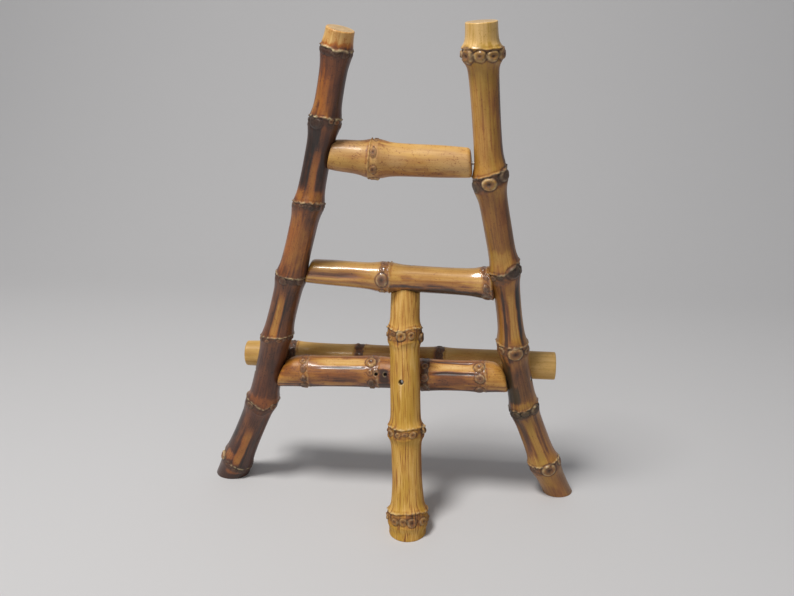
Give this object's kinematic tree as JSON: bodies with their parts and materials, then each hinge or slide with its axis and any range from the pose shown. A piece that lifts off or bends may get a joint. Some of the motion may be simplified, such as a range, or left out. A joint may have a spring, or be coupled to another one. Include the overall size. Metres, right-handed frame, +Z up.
{
  "type": "display easel",
  "caption": "Small rustic tabletop easel of knotty root bamboo: crooked poles lean back on a rear leg, with nailed rungs between them and a ledge bar that holds a picture or plate.",
  "frame": {"origin": "on the floor, at the middle of the easel's outline seen from above", "axes": "+Z up; +Y towards the display side, where the ledge is; the rear leg stands on the -Y side; +X to the right as seen from the leg's side"},
  "size_m": [0.2324, 0.0772, 0.2806],
  "materials": {
    "cane_toasted": "glossy toasted root bamboo, dark reddish brown with near-black blotches and pale scars",
    "cane_olive": "glossy root bamboo, olive ochre with brown streaks",
    "cane_straw": "satin root bamboo, pale straw with pinkish-brown mottling",
    "cane_golden": "glossy root bamboo, golden with an amber underside",
    "cane_amber": "glossy root bamboo, amber to reddish brown",
    "cane_tan": "satin root bamboo, tan ends and an olive-brown middle",
    "cane_ochre": "matte root bamboo, yellow ochre with dark lengthwise fibres",
    "nail_steel": "bright steel brad"
  },
  "bodies": {
    "root": {"left_pole": "cane_toasted", "right_pole": "cane_olive", "top_rung": "cane_straw", "middle_rung": "cane_golden", "lower_rung": "cane_amber", "front_ledge": "cane_tan", "rear_leg": "cane_ochre", "nail_top_left": "nail_steel", "nail_top_right": "nail_steel", "nail_middle_left": "nail_steel", "nail_middle_right": "nail_steel", "nail_lower_left": "nail_steel", "nail_lower_right": "nail_steel", "nail_ledge_left": "nail_steel", "nail_ledge_right": "nail_steel", "nail_leg_lower": "nail_steel", "nail_leg_top": "nail_steel"}
  },
  "joints": []
}
